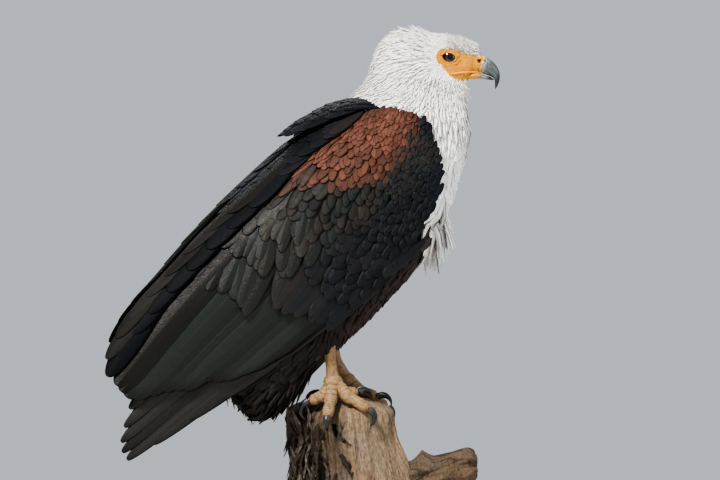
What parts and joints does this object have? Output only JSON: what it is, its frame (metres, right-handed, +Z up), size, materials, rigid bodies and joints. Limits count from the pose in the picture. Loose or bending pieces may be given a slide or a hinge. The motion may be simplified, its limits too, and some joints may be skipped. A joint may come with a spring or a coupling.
{
  "type": "african fish eagle",
  "caption": "Life-size still African fish eagle, wings folded and head turned, gripping a broken dead trunk held by a rod on a round display base.",
  "frame": {"origin": "a point on the underside of the display base, on the axis of the rod", "axes": "+Z up, +X the way the eagle's breast faces, +Y to the eagle's left; the head is turned to the eagle's right"},
  "size_m": [0.5595, 0.3, 0.7391],
  "materials": {
    "white_plumage": "soft matt feathers",
    "black_plumage": "glossy black feathers",
    "wing_plumage": "slate feathers with a low sheen",
    "chestnut_plumage": "soft chestnut feathers",
    "belly_plumage": "soft dark red-brown feathers",
    "bare_yellow_skin": "waxy bare skin",
    "bill_horn": "polished horn",
    "eye": "wet and glossy",
    "foot_scales": "rough scales",
    "claw_horn": "polished horn",
    "dead_wood": "weathered, split and unfinished",
    "stained_wood": "dark stain, satin",
    "brushed_steel": "brushed"
  },
  "bodies": {
    "root": {"bill_cere": "bare_yellow_skin", "bill_lower": "bill_horn", "bill_upper": "bill_horn", "breast": "white_plumage", "eye_left": "eye", "eye_right": "eye", "head": "white_plumage", "leg_left_foot": "foot_scales", "leg_left_foot_hind_claw": "claw_horn", "leg_left_foot_inner_claw": "claw_horn", "leg_left_foot_middle_claw": "claw_horn", "leg_left_foot_outer_claw": "claw_horn", "leg_left_tarsus": "foot_scales", "leg_left_thigh": "belly_plumage", "leg_right_foot": "foot_scales", "leg_right_foot_hind_claw": "claw_horn", "leg_right_foot_inner_claw": "claw_horn", "leg_right_foot_middle_claw": "claw_horn", "leg_right_foot_outer_claw": "claw_horn", "leg_right_tarsus": "foot_scales", "leg_right_thigh": "belly_plumage", "mantle": "black_plumage", "neck": "white_plumage", "perch": "dead_wood", "stand_base": "stained_wood", "stand_collar": "brushed_steel", "stand_rod": "brushed_steel", "tail": "white_plumage", "trunk": "belly_plumage", "wing_left_coverts": "wing_plumage", "wing_left_primaries": "black_plumage", "wing_left_secondaries": "wing_plumage", "wing_left_shoulder": "chestnut_plumage", "wing_left_tertials": "black_plumage", "wing_right_coverts": "wing_plumage", "wing_right_primaries": "black_plumage", "wing_right_secondaries": "wing_plumage", "wing_right_shoulder": "chestnut_plumage", "wing_right_tertials": "black_plumage"}
  },
  "joints": []
}
